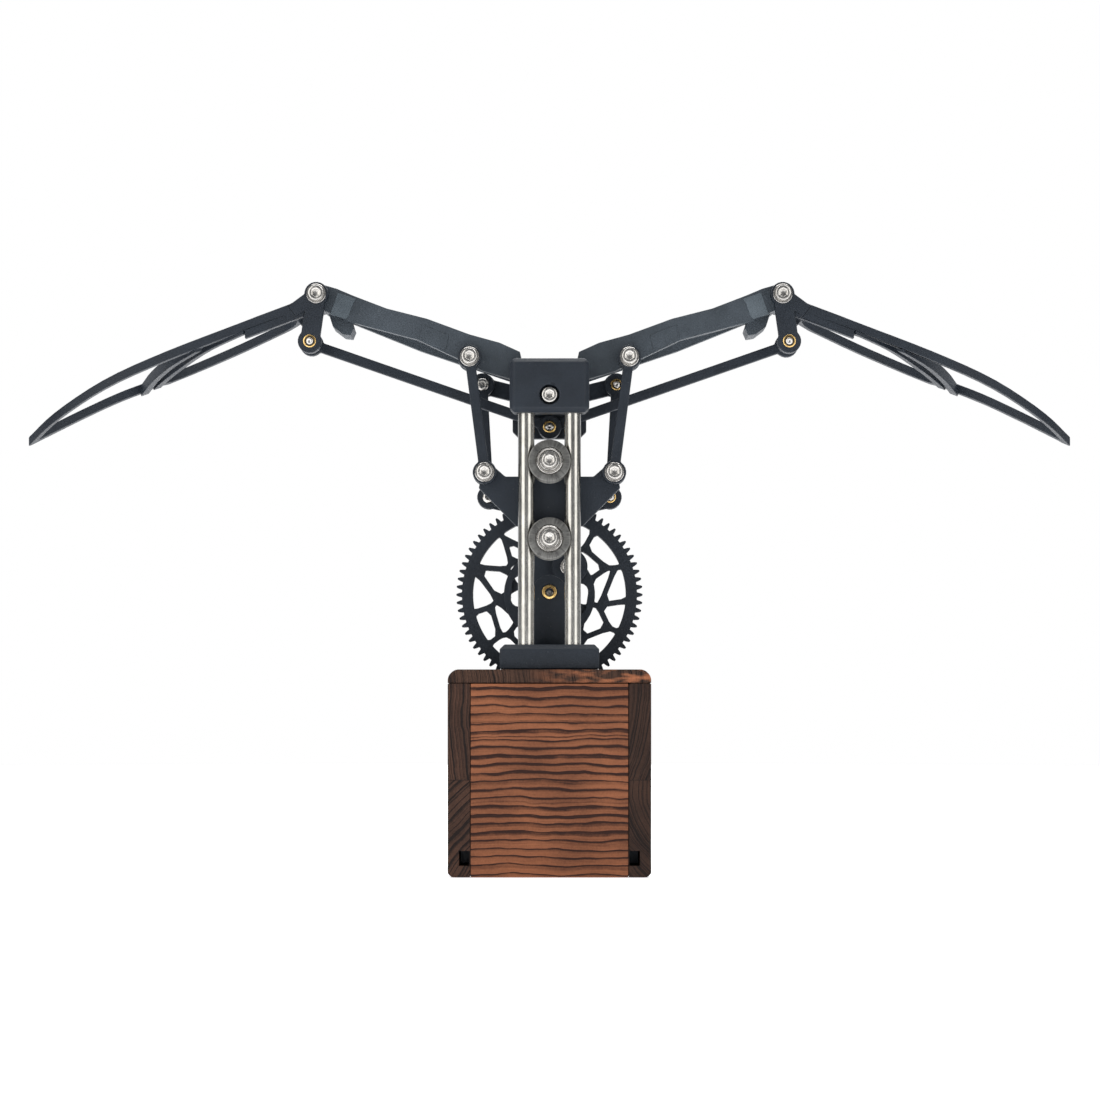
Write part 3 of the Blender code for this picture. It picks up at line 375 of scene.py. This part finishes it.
def box_of(node):
    """Lowest and highest corner of a CAD node, in millimetres."""
    low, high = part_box(node)
    return low / MM, high / MM


def middle_of(node):
    low, high = box_of(node)
    return (low + high) / 2


def body_of(node):
    return frame["nodes"][node]["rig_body"]


def add_piece(name, shape, material, body, nodes=()):
    """A finished bmesh in metres becomes a piece that rides on a body and stands for its CAD nodes."""
    data = bpy.data.meshes.new(name)
    shape.to_mesh(data)
    shape.free()
    for layer in [a for a in data.attributes if a.name == "custom_normal"]:
        data.attributes.remove(layer)
    data.shade_smooth()
    data.set_sharp_from_angle(angle=SMOOTH_ANGLE)
    data.materials.clear()
    data.materials.append(material)
    piece = bpy.data.objects.new(name, data)
    bpy.context.scene.collection.objects.link(piece)
    even = piece.modifiers.new("even_normals", "WEIGHTED_NORMAL")
    even.keep_sharp = True
    even.weight = 80
    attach(piece, body)
    if nodes:
        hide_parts(*nodes)


def refined(node, material, bevel, segments=2, rounded=None, weld=0.05, clamp=False):
    """The CAD node's own shape with its edges broken.

    rounded is a test of an edge and a radius, for softer corners. weld joins nearly equal points first.
    """
    shape = bmesh.new()
    shape.from_mesh(frame["nodes"][node].data)
    bmesh.ops.remove_doubles(shape, verts=shape.verts, dist=weld * MM)
    bmesh.ops.dissolve_degenerate(shape, edges=shape.edges, dist=0.01 * MM)
    bmesh.ops.dissolve_limit(shape, angle_limit=math.radians(1.5), verts=shape.verts, edges=shape.edges)
    if rounded is not None:
        test, radius = rounded
        soft = [edge for edge in shape.edges if edge.is_manifold and test(edge)]
        bmesh.ops.bevel(shape, geom=soft, offset=radius * MM, segments=5, profile=0.5, affect="EDGES")
    sharp = [e for e in shape.edges if e.is_manifold and e.calc_face_angle(0.0) > BEVEL_ANGLE]
    bmesh.ops.bevel(
        shape,
        geom=sharp,
        offset=bevel * MM,
        segments=segments,
        profile=0.5,
        affect="EDGES",
        clamp_overlap=clamp,
    )
    add_piece(f"{node}_finished", shape, material, body_of(node), [node])


def hexagon(radius_to_flat, angle):
    step = math.radians(60)
    return radius_to_flat / math.cos((angle + step / 2) % step - step / 2)


def turned(profile, centre, axis="y", sides=SCREW_SIDES):
    """Solid of revolution in metres. The profile holds (radius, position, form): round, hex or knurl."""
    shape = bmesh.new()
    rings = []
    for radius, position, form in profile:
        ring = []
        for i in range(sides if radius > 0 else 1):
            angle = 2 * math.pi * i / sides
            reach = radius
            if form == "hex":
                reach = hexagon(radius, angle)
            elif form == "knurl" and i % 2:
                reach = radius - KNURL_DEPTH
            u = centre[0] + reach * math.cos(angle)
            if axis == "y":
                point = (u, position, centre[2] + reach * math.sin(angle))
            else:
                point = (u, centre[1] + reach * math.sin(angle), position)
            ring.append(shape.verts.new(Vector(point) * MM))
        rings.append(ring)
    pairs = list(zip(rings, rings[1:]))
    if profile[0][0] > 0:
        pairs.append((rings[-1], rings[0]))
    for near, far in pairs:
        for i in range(sides):
            j = (i + 1) % sides
            corners = [near[i % len(near)], near[j % len(near)], far[j % len(far)], far[i % len(far)]]
            shape.faces.new(list(dict.fromkeys(corners)))
    bmesh.ops.recalc_face_normals(shape, faces=shape.faces)
    return shape


def joined(*shapes):
    """All the bmeshes in the first one."""
    first = shapes[0]
    for other in shapes[1:]:
        carrier = bpy.data.meshes.new("carrier")
        other.to_mesh(carrier)
        other.free()
        first.from_mesh(carrier)
        bpy.data.meshes.remove(carrier)
    return first


# Fasteners


def head_profile(front, under):
    """Socket head: hexagonal well, rounded rim and knurled side."""
    return [
        (0, front + SOCKET_DEPTH + 0.3, "round"),
        (SOCKET_APOTHEM * 0.9, front + SOCKET_DEPTH, "hex"),
        (SOCKET_APOTHEM, front + 0.15, "hex"),
        (SOCKET_APOTHEM + 0.2, front, "hex"),
        (HEAD_RADIUS - 0.45, front, "round"),
        (HEAD_RADIUS - 0.12, front + 0.12, "round"),
        (HEAD_RADIUS, front + 0.42, "round"),
        (HEAD_RADIUS - 0.2, front + 0.46, "round"),
        (HEAD_RADIUS, front + 0.5, "knurl"),
        (HEAD_RADIUS, under - 0.35, "knurl"),
        (HEAD_RADIUS, under - 0.2, "round"),
        (HEAD_RADIUS - 0.15, under, "round"),
    ]


def cap_screw(node, material, washer=True):
    """Finished cap screw in place of the plain CAD one: same ends, with a washer that hugs the seat."""
    low, high = box_of(node)
    centre = (low + high) / 2
    has_cad_washer = high.x - low.x > 2 * HEAD_RADIUS + 0.5
    seat = low.y + HEAD_HEIGHT + (WASHER_THICKNESS if has_cad_washer else 0.0)
    under = seat - WASHER_THICKNESS
    shank = head_profile(low.y, under) + [
        (SHANK_RADIUS, under, "round"),
        (SHANK_RADIUS, high.y - 0.3, "round"),
        (SHANK_RADIUS - 0.3, high.y, "round"),
        (0, high.y, "round"),
    ]
    shape = turned(shank, centre)
    if washer:
        ring = [
            (SHANK_RADIUS + 0.1, under + 0.02, "round"),
            (WASHER_RADIUS - 0.15, under + 0.02, "round"),
            (WASHER_RADIUS, under + 0.17, "round"),
            (WASHER_RADIUS, seat, "round"),
            (SHANK_RADIUS + 0.1, seat, "round"),
        ]
        shape = joined(shape, turned(ring, centre))
    add_piece(f"{node}_finished", shape, material, body_of(node), [node])


def low_screw(node, material):
    """Low button screw with a hexagonal well."""
    low, high = box_of(node)
    radius = (high.x - low.x) / 2
    front = low.y
    profile = [
        (0, front + 1.1, "round"),
        (0.95, front + 1.0, "hex"),
        (1.05, front + 0.05, "hex"),
        (1.25, front, "round"),
        (radius - 0.55, front + 0.1, "round"),
        (radius - 0.15, front + 0.45, "round"),
        (radius, front + 0.9, "round"),
        (radius, front + 1.3, "round"),
        (SHANK_RADIUS, front + 1.3, "round"),
        (SHANK_RADIUS, high.y, "round"),
        (0, high.y, "round"),
    ]
    shape = turned(profile, (low + high) / 2)
    add_piece(f"{node}_finished", shape, material, body_of(node), [node])


def screw_tip(name, centre, front, back, material, body, nodes=()):
    """Rounded end of a screw that shows in the middle of an insert."""
    profile = [
        (0, front + 0.2, "round"),
        (0.55, front + 0.12, "round"),
        (0.75, front, "round"),
        (1.05, front + 0.05, "round"),
        (TIP_RADIUS, front + 0.3, "round"),
        (TIP_RADIUS, back, "round"),
        (0, back, "round"),
    ]
    add_piece(name, turned(profile, centre, sides=32), material, body, nodes)


def insert_ring(name, centre, span, radii, material, body, nodes=()):
    """Heat-set insert: a chamfered ring with a knurled side. span runs from front to back."""
    front, back = span
    outer, inner = radii
    profile = [
        (inner, front + 0.35, "round"),
        (inner + 0.2, front + 0.02, "round"),
        (outer - 0.18, front, "round"),
        (outer, front + 0.12, "round"),
        (outer - 0.2, front + 0.15, "round"),
        (outer, front + 0.2, "knurl"),
        (outer, back, "knurl"),
        (inner, back, "round"),
    ]
    add_piece(name, turned(profile, centre), material, body, nodes)


def build_fasteners(steel, brass):
    for node in ("upper_roller_screw", "lower_roller_screw"):
        cap_screw(node, steel)
    cap_screw("head_screw", steel, washer=False)
    cap_screw("crank_pin", steel)
    for side in ("left", "right"):
        cap_screw(f"{side}_elbow_pin", steel)
        cap_screw(f"{side}_pushrod_lower_screw", steel)
        cap_screw(f"{side}_pushrod_upper_screw", steel)
        build_horn_insert(side, steel, brass)
    for end in ("lower", "upper"):
        low_screw(f"left_rear_{end}_screw", steel)
        node = f"right_rear_{end}_screw"
        low, high = box_of(node)
        centre = (low + high) / 2
        span = (low.y + 0.7, low.y + 1.4)
        insert_ring(f"{node}_insert", centre, span, (2.1, 1.45), brass, body_of(node))
        screw_tip(f"{node}_finished", centre, low.y + 0.5, high.y, steel, body_of(node), [node])
    low, high = box_of("body_link_pin")
    centre = (low + high) / 2
    seat = low.y + HEAD_HEIGHT
    insert_ring("body_link_insert", centre, (seat - 0.4, seat + 0.1), (2.3, 1.45), brass, "frame")
    screw_tip("body_link_pin_finished", centre, seat - 0.7, high.y, steel, "frame", ["body_link_pin"])
    node = "front_post_insert"
    low, high = box_of(node)
    insert_ring(f"{node}_finished", (low + high) / 2, (low.y, high.y), (2.6, 1.5), brass, "frame", [node])


def build_horn_insert(side, steel, brass):
    """Insert in the horn's end, with the link screw's tip inside it."""
    centre = middle_of(f"{side}_horn_pin")
    front = box_of(f"{side}_elbow_pin")[0].y + HEAD_HEIGHT + 0.1
    body = f"{side}_outer_wing"
    insert_ring(f"{side}_horn_insert", centre, (front - 0.28, front + 0.1), (2.3, 1.55), brass, body)
    screw_tip(f"{side}_horn_screw_tip", centre, front - 0.25, front + 0.1, steel, body)


# Rods and rollers


def build_rods(steel):
    for node in ("left_guide_rod", "right_guide_rod"):
        low, high = box_of(node)
        radius = (high.x - low.x) / 2
        edge = 0.5
        profile = [
            (0, low.z, "round"),
            (radius - edge, low.z, "round"),
            (radius, low.z + edge, "round"),
            (radius, high.z - edge, "round"),
            (radius - edge, high.z, "round"),
            (0, high.z, "round"),
        ]
        shape = turned(profile, (low + high) / 2, "z", 64)
        add_piece(f"{node}_finished", shape, steel, "frame", [node])


def build_rollers(steel):
    rod_low, rod_high = box_of("right_guide_rod")
    reach = (rod_low.x + rod_high.x) / 2
    groove = (rod_high.x - rod_low.x) / 2 + ROLLER_GROOVE_PLAY
    for node in ("upper_roller", "lower_roller"):
        low, high = box_of(node)
        centre = (low + high) / 2
        radius = (high.z - low.z) / 2
        profile = roller_profile(low.y, high.y, radius, reach, groove)
        face = brushed_face(f"{node}_face", centre)
        body = body_of(node)
        add_piece(f"{node}_finished", turned(profile, centre, sides=72), face, body, [node])
        bearing = bearing_profile(low.y, high.y)
        add_piece(f"{node}_bearing", turned(bearing, centre, sides=64), steel, body)


def roller_profile(front, back, radius, reach, groove):
    """Wheel with broken rims and a round groove for the rod, whose axis lies at reach."""
    edge = math.sqrt(groove**2 - (reach - radius) ** 2)
    middle = (front + back) / 2
    profile = [
        (ROLLER_BORE, front + 0.6, "round"),
        (ROLLER_BORE + 0.1, front + 0.05, "round"),
        (ROLLER_BORE + 0.25, front, "round"),
        (radius - 0.45, front, "round"),
        (radius - 0.1, front + 0.18, "round"),
        (radius, front + 0.5, "round"),
    ]
    for step in range(GROOVE_STEPS + 1):
        position = -edge + 2 * edge * step / GROOVE_STEPS
        profile.append((reach - math.sqrt(groove**2 - position**2), middle + position, "round"))
    profile += [(radius, back - 0.5, "round"), (radius - 0.45, back, "round")]
    profile += [(ROLLER_BORE, back, "round")]
    return profile


def bearing_profile(front, back):
    """Bright ring round the screw head, with a dark gap on both sides of it."""
    return [
        (BEARING_BORE, front + 0.5, "round"),
        (3.7, front + 0.5, "round"),
        (3.85, front - 0.08, "round"),
        (4.05, front - 0.18, "round"),
        (4.4, front - 0.18, "round"),
        (4.6, front, "round"),
        (4.65, front + 0.5, "round"),
        (BEARING_RADIUS, front + 0.62, "round"),
        (BEARING_RADIUS, back - 0.1, "round"),
        (BEARING_BORE, back - 0.1, "round"),
    ]


# The wooden box


def build_box():
    front_rings = [Grain((-60.0, -420.0), 3.0, 2.0)]
    back_rings = [Grain((90.0, -130.0), 2.9)]
    top_rings = [Grain((-110.0, 60.0), 0.95)]
    side_woods = {
        "left": ([Grain((40.0, -50.0), 2.5), Grain((120.0, 60.0), 1.0)], SIDE_WOOD),
        "right": ([Grain((58.0, 32.0), 1.5), Grain((-60.0, 70.0), 1.45)], DIM_WOOD),
    }
    # Warm patches toward the right of the top board: a painted highlight
    highlight_patch = (WARM_WOOD, -8.0, 22.0)
    lid = scorched_wood("top_wood", "y", top_rings, LID_WOOD, BLACK_WOOD, 0.45, painted_highlight=highlight_patch, wave=0.6)
    refined("top_board", lid, 0.3, rounded=(upper_corner, 1.3))
    for side, (rings, tone) in side_woods.items():
        name = f"{side}_side_wood"
        wood = scorched_wood(name, "y", rings, tone, BLACK_WOOD, 0.35, BOARD_JOINT, wave=0.5)
        refined(f"{side}_board", wood, 0.15, rounded=(lower_corner, 0.5))
    panel = scorched_wood("front_panel_wood", "x", front_rings, WARM_WOOD, BURNT_WOOD, 0.32)
    refined("front_board", panel, 0.12)
    rear_panel = scorched_wood("back_panel_wood", "x", back_rings, WARM_WOOD, BURNT_WOOD, 0.58)
    refined("back_board", rear_panel, 0.12)
    seam = scorched_wood("seam_wood", "y", top_rings, DIM_WOOD, BLACK_WOOD)
    for side in ("left", "right"):
        build_seams(side, seam)


def outer_edge(edge, reach):
    """The edge's two ends in millimetres if it runs from front to back near the box's side, or nothing."""
    half = box_of("top_board")[1].x
    ends = [vert.co / MM for vert in edge.verts]
    lengthways = abs(ends[0].x - ends[1].x) < 0.1 and abs(ends[0].z - ends[1].z) < 0.1
    return ends if lengthways and all(abs(end.x) > half - reach for end in ends) else []


def upper_corner(edge):
    underside = box_of("top_board")[0].z
    ends = outer_edge(edge, CORNER_REACH)
    return bool(ends) and all(end.z > underside + 0.8 for end in ends)


def lower_corner(edge):
    ends = outer_edge(edge, CORNER_REACH - 1.0)
    return bool(ends) and all(end.z < 2.0 for end in ends)


def build_seams(side, material):
    """Dark glue lines round a side board: under the top board, and beside the front and back boards."""
    low, high = box_of(f"{side}_board")
    top = box_of("top_board")[0].z
    behind_side, behind_front = SEAM_SET_BACK
    set_back = Vector((behind_side, behind_front, 0.0))
    levels = (high.z - SEAM_OVERLAP, top + SEAM_OVERLAP)
    seam_strip(f"{side}_top_seam", low + set_back, high - set_back, levels, material)
    inner = high.x if side == "left" else low.x
    panel_edge = box_of("front_board")[0 if side == "left" else 1].x
    across = sorted((inner, panel_edge))
    for panel in ("front_board", "back_board"):
        panel_low, panel_high = box_of(panel)
        near = Vector((across[0] - 0.1, panel_low.y + behind_front, 0.0))
        far = Vector((across[1] + 0.1, panel_high.y - behind_front, 0.0))
        levels = (panel_low.z + 0.5, panel_high.z - 0.5)
        seam_strip(f"{side}_{panel}_seam", near, far, levels, material, 0.05)


def seam_strip(name, near, far, levels, material, corner=0.3):
    """Upright filler between two corners in plan, with its four long edges rounded."""
    shape = bmesh.new()
    corners = [(near.x, near.y), (far.x, near.y), (far.x, far.y), (near.x, far.y)]
    rings = []
    for level in (levels[0], sum(levels) / 2, levels[1]):
        rings.append([shape.verts.new(Vector((x, y, level)) * MM) for x, y in corners])
    shape.faces.new(rings[0])
    shape.faces.new(rings[-1])
    for lower, upper in zip(rings, rings[1:]):
        for i in range(4):
            j = (i + 1) % 4
            shape.faces.new([lower[i], lower[j], upper[j], upper[i]])
    bmesh.ops.recalc_face_normals(shape, faces=shape.faces)
    upright = [e for e in shape.edges if abs(e.verts[0].co.z - e.verts[1].co.z) > 0.01 * MM]
    bmesh.ops.bevel(shape, geom=upright, offset=corner * MM, segments=2, profile=0.5, affect="EDGES")
    add_piece(name, shape, material, "frame")


# Printed parts


def build_printed_parts():
    plate = printed_plastic("printed_plate")
    block = printed_plastic("printed_block", "z", 1.3)
    wing = printed_plastic("printed_wing", "z", 1.6)
    spar = printed_plastic("printed_spar", "z", 2.2, SPAR_TONES)
    # Lighter plastic for the elbow pad: a painted highlight
    highlight_pad_plastic = printed_plastic("printed_pad_painted_highlight", "x", 2.6, PAD_PAINTED_HIGHLIGHT_TONES)
    refined("foot_bracket", block, 0.25)
    refined("head_block", block, 0.5, 3)
    refined("drive_gear", plate, 0.14)
    for node in ("hip_plate", "front_gear_post", "rear_gear_post", "crank_web", "connecting_rod", "carriage"):
        refined(node, plate, 0.35)
    for node in ("motor_mount", "bottom_board"):
        refined(node, plate, 0.3)
    for side in ("left", "right"):
        for part in ("front_pushrod", "rear_pushrod", "control_link", "rear_rocker"):
            refined(f"{side}_{part}", plate, 0.4)
        refined(f"{side}_inner_wing", spar, 0.6, 3, weld=0.2, clamp=True)
        refined(f"{side}_outer_wing", wing, 0.35)
        # The elbow pad wears the lighter plastic with the painted highlight
        build_spar_pad(side, "elbow", ELBOW_PAD, highlight_pad_plastic)
        build_spar_pad(side, "root", ROOT_PAD, spar)


def build_spar_pad(side, word, outline, material):
    """Thin raised plate with a broken rim on the front of an inner wing."""
    sign = -1 if side == "left" else 1
    front = box_of(f"{side}_inner_wing")[0].y
    shape = bmesh.new()
    near, far = (
        [shape.verts.new(Vector((sign * x, level, z)) * MM) for x, z in outline]
        for level in (front - PAD_PROUD, front + PAD_DEPTH)
    )
    shape.faces.new(near)
    shape.faces.new(far)
    for i in range(len(outline)):
        j = (i + 1) % len(outline)
        shape.faces.new([near[i], near[j], far[j], far[i]])
    bmesh.ops.recalc_face_normals(shape, faces=shape.faces)
    rim = [edge for edge in shape.edges if all(vert in near for vert in edge.verts)]
    bmesh.ops.bevel(shape, geom=rim, offset=0.2 * MM, segments=2, profile=0.5, affect="EDGES")
    add_piece(f"{side}_{word}_pad", shape, material, body_of(f"{side}_inner_wing"))


# Stage, light and camera


def build_stage():
    """Seamless pale floor that runs past the object on every side."""
    shape = bmesh.new()
    loops = []
    for ring in range(1, FLOOR_RINGS + 1):
        reach = FLOOR_RADIUS_M * (ring / FLOOR_RINGS) ** 2
        angles = [2 * math.pi * i / FLOOR_SIDES for i in range(FLOOR_SIDES)]
        points = [(reach * math.cos(a), reach * math.sin(a), -FLOOR_DROP_M) for a in angles]
        loops.append([shape.verts.new(point) for point in points])
    shape.faces.new(loops[0])
    for inner, outer in zip(loops, loops[1:]):
        for i in range(FLOOR_SIDES):
            j = (i + 1) % FLOOR_SIDES
            shape.faces.new([inner[i], outer[i], outer[j], inner[j]])
    data = bpy.data.meshes.new("floor")
    shape.to_mesh(data)
    shape.free()
    g = Graph("pale_floor")
    paper = g.noise(g.stretched((0.02, 0.02, 0.02)), 1.0, 4.0)
    colour = g.blend(paper, (0.86, 0.86, 0.87), (0.89, 0.89, 0.90))
    g.shader.inputs["Emission Color"].default_value = (1.0, 1.0, 1.0, 1.0)
    g.shader.inputs["Emission Strength"].default_value = 0.62
    data.materials.append(g.finish(colour, g.remap(paper, 0.3, 0.7, 0.7, 0.85), g.bump(paper, 0.05, 0.2)))
    floor = bpy.data.objects.new("floor", data)
    bpy.context.scene.collection.objects.link(floor)


def soft_box(name, place, size, power, colour):
    """Rectangular area light aimed at the middle of the object."""
    data = bpy.data.lights.new(name, "AREA")
    data.shape = "RECTANGLE"
    data.size, data.size_y = size
    data.energy = power
    data.color = colour
    lamp = bpy.data.objects.new(name, data)
    lamp.location = place
    lamp.rotation_euler = (Vector(AIM_M) - Vector(place)).to_track_quat("-Z", "Y").to_euler()
    bpy.context.scene.collection.objects.link(lamp)


def build_light():
    for name, settings in SOFT_BOXES.items():
        soft_box(name, *settings)
    build_world()


def build_world():
    """White behind the object and dim elsewhere for its reflections, and plain white where it is seen."""
    world = bpy.data.worlds.new("studio")
    bpy.context.scene.world = world
    world.use_nodes = True
    tree = world.node_tree
    background = tree.nodes["Background"]
    background.inputs["Color"].default_value = (0.94, 0.96, 1.0, 1.0)
    direction = tree.nodes.new("ShaderNodeSeparateXYZ")
    tree.links.new(tree.nodes.new("ShaderNodeTexCoord").outputs["Generated"], direction.inputs[0])
    brightness = tree.nodes.new("ShaderNodeMapRange")
    tree.links.new(direction.outputs["Y"], brightness.inputs["Value"])
    for socket, number in zip(brightness.inputs[1:5], (0.3, 0.95, 0.16, 0.9)):
        socket.default_value = number
    tree.links.new(brightness.outputs["Result"], background.inputs["Strength"])
    seen = tree.nodes.new("ShaderNodeBackground")
    seen.inputs["Color"].default_value = (1.0, 1.0, 1.0, 1.0)
    seen.inputs["Strength"].default_value = 1.0
    path = tree.nodes.new("ShaderNodeLightPath")
    mix = tree.nodes.new("ShaderNodeMixShader")
    tree.links.new(path.outputs["Is Camera Ray"], mix.inputs[0])
    tree.links.new(background.outputs[0], mix.inputs[1])
    tree.links.new(seen.outputs[0], mix.inputs[2])
    tree.links.new(mix.outputs[0], tree.nodes["World Output"].inputs["Surface"])


def build_camera():
    data = bpy.data.cameras.new("camera")
    data.sensor_width = SENSOR_WIDTH
    data.lens = LENS
    data.shift_x, data.shift_y = FRAME_SHIFT
    camera = bpy.data.objects.new("camera", data)
    rods = middle_of("left_guide_rod")
    camera.location = Vector((0.0, rods.y - CAMERA_DISTANCE, CAMERA_HEIGHT)) * MM
    camera.rotation_euler = (math.radians(90), 0.0, 0.0)
    bpy.context.scene.collection.objects.link(camera)
    bpy.context.scene.camera = camera
    bpy.context.scene.view_settings.view_transform = "Standard"


def paint_plain_nodes(steel):
    """Pins, shaft and motor keep their CAD shape."""
    metal = plated_metal("motor_plating")
    for node, thing in frame["nodes"].items():
        if thing.hide_render:
            continue
        thing.data.materials.clear()
        thing.data.materials.append(metal if slots[node] == "motor_metal" else steel)


def main():
    steel = polished_steel("screw_steel", SCREW_STEEL, (0.20, 0.32), (1.2, 1.2, 1.2), 0.0006)
    rod_steel = polished_steel("rod_steel", ROD_STEEL, (0.18, 0.26), (3.0, 3.0, 0.12), 0.0004)
    brass = bright_brass("insert_brass")
    build_box()
    build_printed_parts()
    build_rods(rod_steel)
    build_rollers(steel)
    build_fasteners(steel, brass)
    refined("pinion", brass, 0.1)
    paint_plain_nodes(steel)
    build_stage()
    build_light()
    build_camera()


main()
